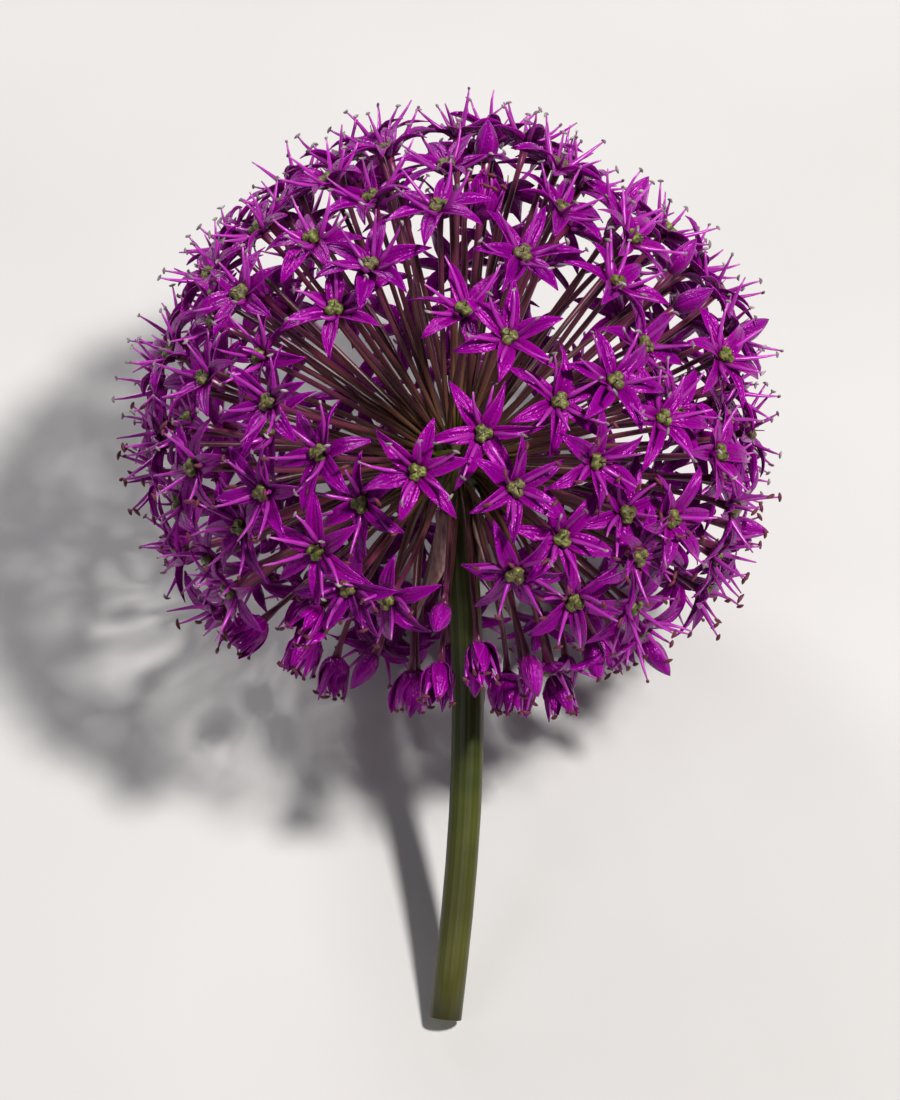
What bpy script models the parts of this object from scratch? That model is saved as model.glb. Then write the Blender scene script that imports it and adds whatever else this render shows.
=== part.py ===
"""Allium flower head, cut with a short stem and lying on its side.

Units are metres and +Z is up. The flower is drawn upright in its own frame, with the hub at the
origin, +Z up the stem and -Y at its front, and one empty then lays it down. The pedicels of real
alliums leave the receptacle in small branches called cymes, and each cyme here is one solid.
"""
import math
import random
from dataclasses import dataclass
from itertools import combinations

import bmesh
import bpy
import numpy as np
from mathutils import Matrix, Quaternion, Vector

# ---- driving dimensions ---------------------------------------------------------------------
MM = 0.001
SEED = 11
GOLDEN_ANGLE = math.pi * (3.0 - math.sqrt(5.0))

LYING_ANGLE = math.radians(32.0)  # the stem's rise from the floor, once the flower lies down

STEM_RADIUS = 2.7 * MM
STEM_LENGTH = 93.0 * MM  # from the hub to the cut
STEM_LEAN = -1.6 * MM  # sideways offset of the cut end
STEM_BOW = 2.9 * MM  # sideways bow at mid length
STEM_POINTS = 11
RECEPTACLE_RADIUS = 5.5 * MM
RECEPTACLE_POINTS = 8
RECEPTACLE_BLEND = 1.5 * MM  # the stem's last ring stands this far under the dome
DOME_END = math.radians(14.0)  # the dome's last ring, off the top of the head

HEAD_POLAR_DEG = (0.0, 40.0, 85.0, 120.0, 145.0, 165.0)  # angle from the top of the head
HEAD_REACH_MM = (65.0, 61.5, 58.0, 54.5, 48.5, 45.5)  # how far the stamens reach at that angle
FLORET_SPOTS = 232
FLORET_LOWEST = math.radians(164.0)
SPOT_JITTER = 0.03  # spread of the spots round an even pattern, in radians
THIN_FROM = math.radians(112.0)
THIN_SHARE = 0.36  # share of the spots left empty under the head
LATE_FROM = math.radians(112.0)  # florets open down to here
LATE_FULL = math.radians(142.0)
LATE_SHARE = 0.86  # share still shut below that
EARLY_SHARE = 0.03  # share still shut anywhere
BELL_SHARE = 0.42  # share of the shut ones that are half open
GAPS = ((-12.0, 75.0, 12.0), (-8.0, 106.0, 13.0), (22.0, 66.0, 10.0))  # bearing, polar, width in deg

CYMES = 46
CYME_LOWEST = math.radians(128.0)
CYME_FLORETS = 6  # the most that one cyme carries
STUB_BASE = 5.85 * MM  # distance of the stub's foot from the hub
STUB_LENGTH = 3.6 * MM
STUB_FOOT_RADIUS = 0.85 * MM
STUB_TOP_RADIUS = 1.7 * MM
PEDICEL_RING = 0.95 * MM  # the pedicels leave the stub within this radius
PEDICEL_SPACING = 0.9 * MM
PEDICEL_SPREAD = 2.2 * MM  # offset on the stub's top for a pedicel that leans right over
MIDDLE_REACH = 45.0 * MM
PEDICEL_RADIUS = 0.4 * MM
PEDICEL_ROOT = 0.6 * MM  # how deep a pedicel starts inside the stub
ROOT_PRISM = 0.52 * MM  # straight foot of a pedicel, inside the stub

NECK_RADIUS = 0.5 * MM
NECK_DROP = 0.9 * MM
RIM_RADIUS = 1.4 * MM
RIM_RISE = 0.35 * MM
STAMEN_REACH = 7.5 * MM
TEPAL_REACH = 7.2 * MM
BELL_REACH = 3.4 * MM
BELL_RISE = 6.2 * MM
BUD_RINGS = ((2.2 * MM, 2.0 * MM), (5.0 * MM, 1.5 * MM))  # height and radius
BUD_LENGTH = 7.6 * MM
WHORL_STEP = 0.5 * MM  # the inner three tepals stand this much over the outer three

DIRECTION_SPREAD = 0.022  # how far a floret may settle from its spot, in radians
DEPTH_SPREAD = 2.3  # mm, how far florets stand back from the head's outline
TILT_SPREAD = 0.11
CUP_RANGE = (-1.3, 2.2)  # mm, height of the open tepals' tips over their feet

DROOP_FROM = math.radians(112.0)
DROOP_FULL = math.radians(150.0)
HANG_SHARE = 0.62  # how far a fully drooping floret turns to hang straight down
BEND_SHARE = 0.45  # place of the pedicel's bend along its length
PEDICEL_ARCH = 0.10  # arch of a drooping pedicel, as a share of its length

BRACT_TOP = 8.0 * MM  # distance under the hub
BRACT_LENGTH = 18.0 * MM
BRACT_HALF_WIDTH = 5.2 * MM
BRACT_FLARE = 4.6 * MM
BRACT_CURL = 1.4  # the bract leaves the stem slowly, then faster
BRACT_FOOT = 0.25  # where the width's half wave starts, in half turns
BRACT_TAPER = 0.72  # how much of the half wave runs from foot to tip
BRACT_CUP = 0.5 * MM
BRACT_CLEARANCE = 0.9 * MM
BRACT_THICKNESS = 0.35 * MM
BRACT_BEARINGS = {"spathe_bract_left": 188.0, "spathe_bract_right": 15.0}

TEPAL_ROD = (0.9 * MM, 0.1 * MM)  # radii at foot and tip, where florets are kept apart as rods
BUD_ROD = (1.0 * MM, 0.8 * MM)
BRACT_ROD = 0.9 * MM
ROOT_ALLOWANCE = 0.1 * MM  # lets the pedicels of one cyme stand closer than the wanted gap
TRIES = 40
SWEEPS = 4
WANTED_GAP = 1.0 * MM
NEIGHBOUR_COSINE = math.cos(math.radians(26.0))


@dataclass
class Floret:
    """One floret in the flower's frame: its kind and place, and the pedicel that carries it."""
    kind: str
    direction: Vector
    droop: float
    cyme: int = 0
    base: Vector = None
    axis: Vector = None
    side: Vector = None
    cup: float = 0.0
    root: Vector = None


# ---- directions and frames ------------------------------------------------------------------
def polar_vector(polar, bearing):
    """A unit vector, from the angle off the head's top and the bearing from its front."""
    level = math.sin(polar)
    return Vector((level * math.sin(bearing), -level * math.cos(bearing), math.cos(polar)))


def polar_angle(direction):
    return math.acos(max(-1.0, min(1.0, direction.z)))


def bearing_angle(direction):
    return math.atan2(direction.x, -direction.y)


def smooth_step(value, low, high):
    t = max(0.0, min(1.0, (value - low) / (high - low)))
    return t * t * (3.0 - 2.0 * t)


def ring_frame(point, axis, side):
    """A frame at a point, with Z along the axis and X as near as possible to the side vector."""
    z = axis.normalized()
    x = (side - z * side.dot(z)).normalized()
    y = z.cross(x)
    return Matrix.LocRotScale(point, Matrix((x, y, z)).transposed(), None)


def level_side(axis):
    """A steady sideways vector that is never parallel to the axis."""
    return Vector((1.0, 0.0, 0.0)) if abs(axis.x) < 0.8 else Vector((0.0, 1.0, 0.0))


def golden_directions(count, lowest):
    """Even directions over the head, from its top down to the lowest polar angle."""
    span = 1.0 - math.cos(lowest)
    directions = []
    for i in range(count):
        polar = math.acos(1.0 - span * (i + 0.5) / count)
        directions.append(polar_vector(polar, i * GOLDEN_ANGLE))
    return directions


# ---- laying out the florets -----------------------------------------------------------------
def in_a_gap(direction):
    for bearing, polar, width in GAPS:
        centre = polar_vector(math.radians(polar), math.radians(bearing))
        if direction.angle(centre) < math.radians(width):
            return True
    return False


def floret_kind(polar, rng):
    """Florets open from the top down, so the lowest are still bells and buds."""
    lateness = smooth_step(polar, LATE_FROM, LATE_FULL)
    if rng.random() < 1.0 - LATE_SHARE * lateness - EARLY_SHARE:
        return "open"
    return "bell" if rng.random() < BELL_SHARE else "bud"


def random_offset(rng, spread):
    return Vector((rng.gauss(0.0, spread), rng.gauss(0.0, spread), rng.gauss(0.0, spread)))


def scatter_florets(rng):
    """Choose which spots carry a floret, and of what kind."""
    florets = []
    for spot in golden_directions(FLORET_SPOTS, FLORET_LOWEST):
        direction = (spot + random_offset(rng, SPOT_JITTER)).normalized()
        polar = min(polar_angle(direction), FLORET_LOWEST)
        direction = polar_vector(polar, bearing_angle(direction))
        if in_a_gap(direction):
            continue
        if polar > THIN_FROM and rng.random() < THIN_SHARE:
            continue
        droop = smooth_step(polar, DROOP_FROM, DROOP_FULL)
        florets.append(Floret(floret_kind(polar, rng), direction, droop))
    return florets


def assign_cymes(florets, cyme_axes):
    """Give each floret to a near cyme with room; both are counted from the top of the head down."""
    florets.sort(key=lambda f: polar_angle(f.direction))
    counts = [0] * len(cyme_axes)
    for rank, floret in enumerate(florets):
        share = (rank + 0.5) / len(florets)
        polar = math.acos(1.0 - (1.0 - math.cos(CYME_LOWEST)) * share)
        target = polar_vector(polar, bearing_angle(floret.direction))
        free = [i for i, count in enumerate(counts) if count < CYME_FLORETS]
        floret.cyme = max(free, key=lambda i: cyme_axes[i].dot(target))
        counts[floret.cyme] += 1


def spread_apart(spots):
    """Push crowded points apart, and keep them within the top of the stub."""
    for _ in range(60):
        for a, b in combinations(spots, 2):
            apart = a - b
            crowding = PEDICEL_SPACING - apart.length
            if crowding > 0.0:
                push = apart.normalized() * (0.5 * crowding)
                a += push
                b -= push
        for spot in spots:
            spot *= min(1.0, PEDICEL_RING / max(spot.length, 1e-9))


def root_pedicels(florets, cyme_axes):
    """Choose where each pedicel leaves its stub, on the side that it leans to."""
    for index, axis in enumerate(cyme_axes):
        members = [f for f in florets if f.cyme == index]
        frame = ring_frame(axis * (STUB_BASE + STUB_LENGTH), axis, level_side(axis))
        turn_back = frame.to_3x3().inverted()
        aims = [turn_back @ (f.direction * MIDDLE_REACH - frame.translation).normalized() for f in members]
        spots = [aim.xy * PEDICEL_SPREAD for aim in aims]
        spread_apart(spots)
        for floret, spot in zip(members, spots):
            floret.root = frame @ Vector((*spot, 0.0))


# ---- the outline of one floret --------------------------------------------------------------
def tip_points(floret):
    """The six tepal tips; those of a bud are the corners of its shoulder."""
    frame = ring_frame(floret.base, floret.axis, floret.side)
    tips = []
    for k in range(6):
        whorl = WHORL_STEP if k % 2 else -WHORL_STEP
        if floret.kind == "open":
            reach, rise = TEPAL_REACH - 0.5 * whorl, floret.cup + whorl
        elif floret.kind == "bell":
            reach, rise = BELL_REACH, BELL_RISE + whorl
        else:
            rise, reach = BUD_RINGS[1]
        angle = k * math.pi / 3.0
        tips.append(frame @ Vector((reach * math.cos(angle), reach * math.sin(angle), rise)))
    return tips


def floret_length(kind):
    return BUD_LENGTH if kind == "bud" else STAMEN_REACH


def pedicel_bend(floret):
    """The middle of the pedicel, arched outward where the floret droops."""
    middle = floret.root.lerp(floret.base, BEND_SHARE)
    length = (floret.base - floret.root).length
    outward = Vector((floret.direction.x, floret.direction.y, 0.5)).normalized()
    return middle + outward * (PEDICEL_ARCH * floret.droop * length)


def outline(floret):
    """The floret as nine tapered rods: arrays of their two ends and their two radii."""
    bend = pedicel_bend(floret)
    foot_radius, tip_radius = BUD_ROD if floret.kind == "bud" else TEPAL_ROD
    rods = [(floret.base, tip, foot_radius, tip_radius) for tip in tip_points(floret)]
    apex = floret.base + floret.axis * floret_length(floret.kind)
    rods.append((floret.base, apex, RIM_RADIUS, TEPAL_ROD[1]))
    rods.append((floret.root, bend, -ROOT_ALLOWANCE, PEDICEL_RADIUS))
    rods.append((bend, floret.base - floret.axis * NECK_DROP, PEDICEL_RADIUS, NECK_RADIUS))
    ends = np.array([[tuple(a), tuple(b)] for a, b, _, _ in rods])
    radii = np.array([[ra, rb] for _, _, ra, rb in rods])
    return ends, radii


def rod_gaps(ends_a, radii_a, ends_b, radii_b):
    """The gap between every rod of one set and every rod of the other."""
    p, u = ends_a[:, None, 0], (ends_a[:, 1] - ends_a[:, 0])[:, None]
    q, v = ends_b[None, :, 0], (ends_b[:, 1] - ends_b[:, 0])[None]
    w = p - q
    uu, vv, uv = (u * u).sum(-1), (v * v).sum(-1), (u * v).sum(-1)
    uw, vw = (u * w).sum(-1), (v * w).sum(-1)
    s = np.clip((uv * vw - vv * uw) / np.maximum(uu * vv - uv * uv, 1e-18), 0.0, 1.0)
    t = np.clip((uv * s + vw) / vv, 0.0, 1.0)
    s = np.clip((uv * t - uw) / uu, 0.0, 1.0)
    distance = np.linalg.norm(w + s[..., None] * u - t[..., None] * v, axis=-1)
    radius_a = radii_a[:, None, 0] * (1.0 - s) + radii_a[:, None, 1] * s
    radius_b = radii_b[None, :, 0] * (1.0 - t) + radii_b[None, :, 1] * t
    return distance - radius_a - radius_b


# ---- finding a place for every floret -------------------------------------------------------
def lift_off_floor(floret, hub_height):
    """Pull a floret in along its direction until nothing of it is under the floor."""
    upward = Vector((0.0, -math.cos(LYING_ANGLE), math.sin(LYING_ANGLE)))
    apex = floret.base + floret.axis * floret_length(floret.kind)
    lowest = hub_height + min(point.dot(upward) for point in [*tip_points(floret), apex])
    if lowest < 0.0:
        floret.base = floret.base - floret.direction * (lowest / floret.direction.dot(upward))


def try_place(floret, rng, hub_height):
    """Give the floret a random but likely place, tilt and turn."""
    direction = (floret.direction + random_offset(rng, DIRECTION_SPREAD)).normalized()
    polar = polar_angle(direction)
    reach = float(np.interp(math.degrees(polar), HEAD_POLAR_DEG, HEAD_REACH_MM)) * MM
    depth = abs(rng.gauss(0.0, DEPTH_SPREAD)) * MM
    trial = Floret(floret.kind, direction, floret.droop, floret.cyme, root=floret.root)
    trial.base = direction * (reach - floret_length(floret.kind) - depth)
    hang = direction.lerp(Vector((0.0, 0.0, -1.0)), HANG_SHARE * floret.droop)
    trial.axis = (hang + random_offset(rng, TILT_SPREAD)).normalized()
    turn = Quaternion(trial.axis, rng.uniform(0.0, math.tau))
    trial.side = turn @ level_side(trial.axis)
    trial.cup = rng.uniform(*CUP_RANGE) * MM
    lift_off_floor(trial, hub_height)
    return trial


def settle_florets(florets, hub_height, fixed, rng):
    """Place the florets one by one, then move the crowded ones, until they clear each other."""
    placed = [try_place(f, rng, hub_height) for f in florets]
    outlines = [outline(f) for f in placed]
    directions = np.array([tuple(f.direction) for f in florets])
    for _ in range(SWEEPS):
        for i, floret in enumerate(florets):
            near = np.flatnonzero(directions @ directions[i] > NEIGHBOUR_COSINE)
            others = [outlines[j] for j in near if j != i] + [fixed]
            ends = np.concatenate([o[0] for o in others])
            radii = np.concatenate([o[1] for o in others])
            best = rod_gaps(*outlines[i], ends, radii).min()
            for _ in range(TRIES):
                if best >= WANTED_GAP:
                    break
                trial = try_place(floret, rng, hub_height)
                shape = outline(trial)
                gap = rod_gaps(*shape, ends, radii).min()
                if gap > best:
                    best, placed[i], outlines[i] = gap, trial, shape
    return placed


# ---- stem and bracts ------------------------------------------------------------------------
def stem_centre(z):
    """The stem's centre line at a height; it bows sideways between the cut and the hub."""
    t = 1.0 + z / STEM_LENGTH
    return Vector((STEM_LEAN * (1.0 - t) + STEM_BOW * math.sin(math.pi * t), 0.0, z))


def build_scape():
    """The scape and the receptacle at its top, grown as one piece."""
    neck_polar = math.pi - math.asin(STEM_RADIUS / RECEPTACLE_RADIUS)
    neck_z = RECEPTACLE_RADIUS * math.cos(neck_polar) - RECEPTACLE_BLEND
    rings = []
    for i in range(STEM_POINTS):
        z = -STEM_LENGTH + (STEM_LENGTH + neck_z) * i / (STEM_POINTS - 1)
        rings.append((stem_centre(z), STEM_RADIUS))
    for i in range(RECEPTACLE_POINTS):
        share = (i + 0.6) / RECEPTACLE_POINTS
        polar = neck_polar + (DOME_END - neck_polar) * share
        centre = Vector((0.0, 0.0, RECEPTACLE_RADIUS * math.cos(polar)))
        rings.append((centre, RECEPTACLE_RADIUS * math.sin(polar)))
    curve = bpy.data.curves.new("scape", "CURVE")
    curve.dimensions = "3D"
    curve.bevel_depth = STEM_RADIUS
    curve.bevel_resolution = 4
    curve.use_fill_caps = True
    spline = curve.splines.new("POLY")
    spline.points.add(len(rings) - 1)
    for point, (centre, radius) in zip(spline.points, rings):
        point.co = (*centre, 1.0)
        point.radius = radius / STEM_RADIUS
    spline.use_smooth = True
    return bpy.data.objects.new("scape", curve)


def bract_point(bearing, along, across):
    """A point of a bract: along runs from its foot to its tip, across from edge to edge."""
    radius = STEM_RADIUS + BRACT_CLEARANCE + BRACT_FLARE * along ** BRACT_CURL
    half_width = BRACT_HALF_WIDTH * math.sin(math.pi * (BRACT_FOOT + BRACT_TAPER * along))
    angle = bearing + across * half_width / radius
    radius += BRACT_CUP * across * across * along
    centre = stem_centre(-BRACT_TOP - BRACT_LENGTH * along)
    return centre + radius * Vector((math.cos(angle), math.sin(angle), 0.0))


def build_bract(name, bearing):
    """A papery spathe bract that clasps the stem under the hub and flares away from it."""
    bm = bmesh.new()
    bmesh.ops.create_grid(bm, x_segments=8, y_segments=6, size=1.0)
    for vert in bm.verts:
        vert.co = bract_point(bearing, 0.5 + 0.5 * vert.co.x, vert.co.y)
    bmesh.ops.recalc_face_normals(bm, faces=bm.faces)
    mesh = bpy.data.meshes.new(name)
    bm.to_mesh(mesh)
    bm.free()
    mesh.shade_smooth()
    bract = bpy.data.objects.new(name, mesh)
    shell = bract.modifiers.new("paper", "SOLIDIFY")
    shell.thickness = BRACT_THICKNESS
    shell.offset = 0.0
    return bract


def fixed_outline():
    """The stem and the bracts as rods, so that the florets keep clear of them."""
    rods = [(stem_centre(0.0), stem_centre(-0.5 * STEM_LENGTH), STEM_RADIUS)]
    for degrees in BRACT_BEARINGS.values():
        bearing = math.radians(degrees)
        for across in (-0.9, -0.45, 0.0, 0.45, 0.9):
            spine = [bract_point(bearing, along, across) for along in (0.0, 0.5, 1.0)]
            rods += [(a, b, BRACT_ROD) for a, b in zip(spine, spine[1:])]
    ends = np.array([[tuple(a), tuple(b)] for a, b, _ in rods])
    radii = np.array([[radius, radius] for _, _, radius in rods])
    return ends, radii


# ---- cymes ----------------------------------------------------------------------------------
def cap_at(bm, point):
    return min(bm.faces, key=lambda face: (face.calc_center_median() - point).length)


def grow_to(bm, cap, old, new, widen):
    """Extrude an end cap from its old frame to a new one, and return the new cap."""
    cap = bmesh.ops.extrude_discrete_faces(bm, faces=[cap])["faces"][0]
    move = new @ Matrix.Scale(widen, 4) @ old.inverted()
    bmesh.ops.transform(bm, matrix=move, verts=cap.verts)
    return cap


def carried(side, old_axis, new_axis):
    """The side vector after the least turn that takes one axis to another, so that tubes don't twist."""
    return old_axis.rotation_difference(new_axis) @ side


def floret_rings(floret, cyme_axis):
    """The frames and radii of the rings from the pedicel's foot to the floret's rim."""
    steps = [(-NECK_DROP, NECK_RADIUS)]
    steps += BUD_RINGS if floret.kind == "bud" else [(RIM_RISE, RIM_RADIUS)]
    rings = []
    for height, radius in steps:
        point = floret.base + floret.axis * height
        rings.append((ring_frame(point, floret.axis, floret.side), radius))
    axis, side = floret.axis, floret.side
    if floret.droop > 0.0:
        bend = pedicel_bend(floret)
        along = ((bend - floret.root).normalized() + (floret.base - bend).normalized()).normalized()
        side = carried(side, axis, along)
        axis = along
        rings.insert(0, (ring_frame(bend, axis, side), PEDICEL_RADIUS))
    side = carried(side, axis, cyme_axis)
    foot = ring_frame(floret.root - cyme_axis * PEDICEL_ROOT, cyme_axis, side)
    rings.insert(0, (foot, PEDICEL_RADIUS))
    return rings


def pull_point(bm, face, target):
    """Turn a face into a spike that ends at the target."""
    centre = bmesh.ops.poke(bm, faces=[face])["verts"][0]
    centre.co = target


def grow_floret(bm, floret, cyme_axis):
    """Grow one pedicel out of the stub and its floret at the end, by extruding the end cap."""
    (foot, old_radius), *rings = floret_rings(floret, cyme_axis)
    old = foot @ Matrix.Translation((0.0, 0.0, ROOT_PRISM))
    bmesh.ops.create_cone(
        bm, cap_ends=True, segments=6, radius1=PEDICEL_RADIUS, radius2=PEDICEL_RADIUS,
        depth=ROOT_PRISM, matrix=foot @ Matrix.Translation((0.0, 0.0, 0.5 * ROOT_PRISM)))
    cap = cap_at(bm, old.translation)
    for frame, radius in rings:
        cap = grow_to(bm, cap, old, frame, radius / old_radius)
        old, old_radius = frame, radius
    if floret.kind != "bud":
        walls = [face for edge in cap.edges for face in edge.link_faces if face is not cap]
        for face in walls:
            middle = face.calc_center_median()
            target = min(tip_points(floret), key=lambda tip: flat_angle(floret, tip, middle))
            pull_point(bm, face, target)
    pull_point(bm, cap, floret.base + floret.axis * floret_length(floret.kind))


def flat_angle(floret, a, b):
    """The angle between two points as seen along the floret's axis."""
    flat_a, flat_b = ((p - floret.base) - floret.axis * (p - floret.base).dot(floret.axis) for p in (a, b))
    return flat_a.angle(flat_b)


def joined(base, addition):
    """The union of two closed objects as a new mesh; EXACT loses the stub of the most crowded cymes."""
    union = base.modifiers.new("join", "BOOLEAN")
    union.operation = "UNION"
    union.solver = "MANIFOLD"
    union.object = addition
    evaluated = base.evaluated_get(bpy.context.evaluated_depsgraph_get())
    mesh = bpy.data.meshes.new_from_object(evaluated)
    base.modifiers.clear()
    return mesh


def build_cyme(number, axis, members, collection):
    """One branch of the umbel: a short stub that splits into pedicels, each with its floret."""
    name = f"cyme_{number:02d}"
    frame = ring_frame(axis * STUB_BASE, axis, level_side(axis))
    bm = bmesh.new()
    for floret in members:
        grow_floret(bm, floret, axis)
    bmesh.ops.transform(bm, matrix=frame.inverted(), verts=bm.verts)
    spray_mesh = bpy.data.meshes.new(name + "_spray")
    bm.to_mesh(spray_mesh)
    bm.clear()
    bmesh.ops.create_cone(
        bm, cap_ends=True, segments=6, radius1=STUB_FOOT_RADIUS, radius2=STUB_TOP_RADIUS,
        depth=STUB_LENGTH, matrix=Matrix.Translation((0.0, 0.0, 0.5 * STUB_LENGTH)))
    stub_mesh = bpy.data.meshes.new(name)
    bm.to_mesh(stub_mesh)
    bm.free()
    cyme = bpy.data.objects.new(name, stub_mesh)
    spray = bpy.data.objects.new(name + "_spray", spray_mesh)
    for piece in (cyme, spray):
        collection.objects.link(piece)
    cyme.data = joined(cyme, spray)
    bpy.data.meshes.remove(stub_mesh)
    bpy.data.objects.remove(spray)
    bpy.data.meshes.remove(spray_mesh)
    collection.objects.unlink(cyme)
    cyme.matrix_local = frame
    return cyme


# ---- materials and assembly -----------------------------------------------------------------
def material(name, color, roughness):
    new = bpy.data.materials.new(name)
    new.use_nodes = True
    shader = new.node_tree.nodes["Principled BSDF"]
    shader.inputs["Base Color"].default_value = (*color, 1.0)
    shader.inputs["Roughness"].default_value = roughness
    shader.inputs["Metallic"].default_value = 0.0
    return new


def clear_scene():
    for thing in list(bpy.data.objects):
        bpy.data.objects.remove(thing)


def add_part(part, collection, frame, skin):
    collection.objects.link(part)
    part.parent = frame
    part.data.materials.clear()
    part.data.materials.append(skin)


def lowest_of(part):
    """The part's lowest point, as a height over its parent's origin."""
    bpy.context.view_layer.update()
    evaluated = part.evaluated_get(bpy.context.evaluated_depsgraph_get())
    mesh = evaluated.to_mesh()
    turn = part.parent.matrix_world.to_3x3()
    lowest = min((turn @ vert.co).z for vert in mesh.vertices)
    evaluated.to_mesh_clear()
    return lowest


def world_bounds(parts):
    bpy.context.view_layer.update()
    graph = bpy.context.evaluated_depsgraph_get()
    corners = []
    for part in parts:
        evaluated = part.evaluated_get(graph)
        mesh = evaluated.to_mesh()
        corners += [part.matrix_world @ vert.co for vert in mesh.vertices]
        evaluated.to_mesh_clear()
    low = Vector(min(corner[i] for corner in corners) for i in range(3))
    high = Vector(max(corner[i] for corner in corners) for i in range(3))
    return low, high


def build():
    clear_scene()
    rng = random.Random(SEED)
    collection = bpy.data.collections.new("allium_flower_head")
    bpy.context.scene.collection.children.link(collection)

    frame = bpy.data.objects.new("flower_frame", None)
    collection.objects.link(frame)
    frame.rotation_euler.x = LYING_ANGLE - math.pi / 2.0

    scape = build_scape()
    add_part(scape, collection, frame, material("scape_green", (0.13, 0.19, 0.035), 0.45))
    hub_height = -lowest_of(scape)

    paper = material("spathe_paper", (0.42, 0.22, 0.2), 0.7)
    for name, degrees in BRACT_BEARINGS.items():
        add_part(build_bract(name, math.radians(degrees)), collection, frame, paper)

    cyme_axes = golden_directions(CYMES, CYME_LOWEST)
    florets = scatter_florets(rng)
    assign_cymes(florets, cyme_axes)
    root_pedicels(florets, cyme_axes)
    florets = settle_florets(florets, hub_height, fixed_outline(), rng)

    purple = material("tepal_purple", (0.33, 0.02, 0.34), 0.4)
    for index, axis in enumerate(cyme_axes):
        members = [f for f in florets if f.cyme == index]
        if members:
            cyme = build_cyme(index + 1, axis, members, collection)
            add_part(cyme, collection, frame, purple)

    parts = [thing for thing in collection.objects if thing.type != "EMPTY"]
    low, high = world_bounds(parts)
    frame.location = (-(low.x + high.x) / 2.0, -(low.y + high.y) / 2.0, -low.z)


build()
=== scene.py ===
# %% [markdown]
# # An allium flower head, cut and laid down
# This script gives a plain model of a flower its real looks. The plain model, called the frame, holds the
# sizes and the place of every floret. It is loaded first and never changed. Each step below makes one part
# of the flower: tepals, stamens, ovaries, pedicels, the stalk and its papery bracts.

# %% Load the frame
import math
import random
from dataclasses import dataclass

import bmesh
import bpy
import numpy as np
from mathutils import Matrix, Vector, noise


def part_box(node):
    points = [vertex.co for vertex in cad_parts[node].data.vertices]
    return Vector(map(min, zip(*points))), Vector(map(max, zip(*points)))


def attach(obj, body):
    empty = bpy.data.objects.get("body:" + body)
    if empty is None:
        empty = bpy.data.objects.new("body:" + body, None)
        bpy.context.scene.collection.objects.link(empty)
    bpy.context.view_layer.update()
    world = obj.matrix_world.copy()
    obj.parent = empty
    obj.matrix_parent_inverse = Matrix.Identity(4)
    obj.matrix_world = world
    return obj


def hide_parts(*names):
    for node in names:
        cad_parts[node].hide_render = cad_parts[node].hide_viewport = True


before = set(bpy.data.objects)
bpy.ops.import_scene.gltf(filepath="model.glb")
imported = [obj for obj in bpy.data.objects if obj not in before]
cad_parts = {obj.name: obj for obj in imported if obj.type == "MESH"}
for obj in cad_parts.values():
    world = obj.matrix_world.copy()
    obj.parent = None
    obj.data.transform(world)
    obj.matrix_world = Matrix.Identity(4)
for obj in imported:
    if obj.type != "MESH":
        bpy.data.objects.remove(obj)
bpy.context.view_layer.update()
rng = random.Random(5)
MM = 0.001
UP = Vector((0.0, 0.0, 1.0))
print("nodes in the frame:", len(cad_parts))

# %% [markdown]
# ## Where the flower is
# The stalk rises from the floor at a fixed angle, and its end inside the head swells into the receptacle,
# a small dome that carries all the pedicels. Its centre is the hub. The dome is the highest and furthest
# part of the stalk, so its centre is one dome radius in from the stalk's top and far ends.

# %% Find the hub
LYING_ANGLE = math.radians(32.0)
RECEPTACLE_RADIUS = 5.5 * MM
stem_axis = Vector((0.0, math.cos(LYING_ANGLE), math.sin(LYING_ANGLE)))
scape_low, scape_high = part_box("scape")
dome = [v.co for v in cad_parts["scape"].data.vertices if v.co.z > scape_high.z - RECEPTACLE_RADIUS]
hub = Vector((
    sum(co.x for co in dome) / len(dome),
    scape_high.y - RECEPTACLE_RADIUS,
    scape_high.z - RECEPTACLE_RADIUS))
print("hub at", [round(c / MM, 1) for c in hub], "mm")

# %% [markdown]
# ## The camera
# The flower lies on the floor, so the camera looks down on it, square to the stalk. A long lens from well
# back keeps the near florets from growing larger than the far ones.

# %% Place the camera
VIEW_SCALE = 0.168 * MM  # of the flower, for each step of a frame 1100 steps high
FRAME_HEIGHT = 1100 * VIEW_SCALE
LENS = 135.0
SENSOR = 36.0
view_back = Vector((0.0, -math.sin(LYING_ANGLE), math.cos(LYING_ANGLE)))
distance = FRAME_HEIGHT * LENS / SENSOR
aim = hub - stem_axis * (85 * VIEW_SCALE) - Vector((5 * VIEW_SCALE, 0.0, 0.0))
camera_data = bpy.data.cameras.new("camera")
camera_data.lens = LENS
camera_data.sensor_width = SENSOR
camera_data.clip_start = 0.01
camera = bpy.data.objects.new("camera", camera_data)
camera.location = aim + view_back * distance
camera.rotation_euler = view_back.to_track_quat("Z", "Y").to_euler()
bpy.context.scene.collection.objects.link(camera)
bpy.context.scene.camera = camera
bpy.context.scene.view_settings.view_transform = "Standard"
print("camera", round(distance / MM), "mm away")

# %% [markdown]
# ## Reading the florets from the frame
# In the frame each floret is a simple star: a pedicel of one or two lengths, a rim, six points for the
# tepals and one spike for the middle. A bud is an ovoid of two rings and a tip. Walking outward from the
# stub of a cyme, ring by ring, gives all of these in order, so every real floret can be built exactly
# where its star stands.

# %% Describe one floret
STUB_TOP = 9.9 * MM  # everything of a cyme nearer to the hub than this is its stub
RIM_RISE = 0.35 * MM
BUD_SHOULDER = 5.0 * MM


@dataclass
class Floret:
    """Where one floret stands: its kind, its frame, its tips in that frame, and its pedicel's route."""
    kind: str
    place: Matrix
    tips: list
    route: list
    tone: float


def middle(points):
    return sum(points, Vector()) / len(points)


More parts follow.
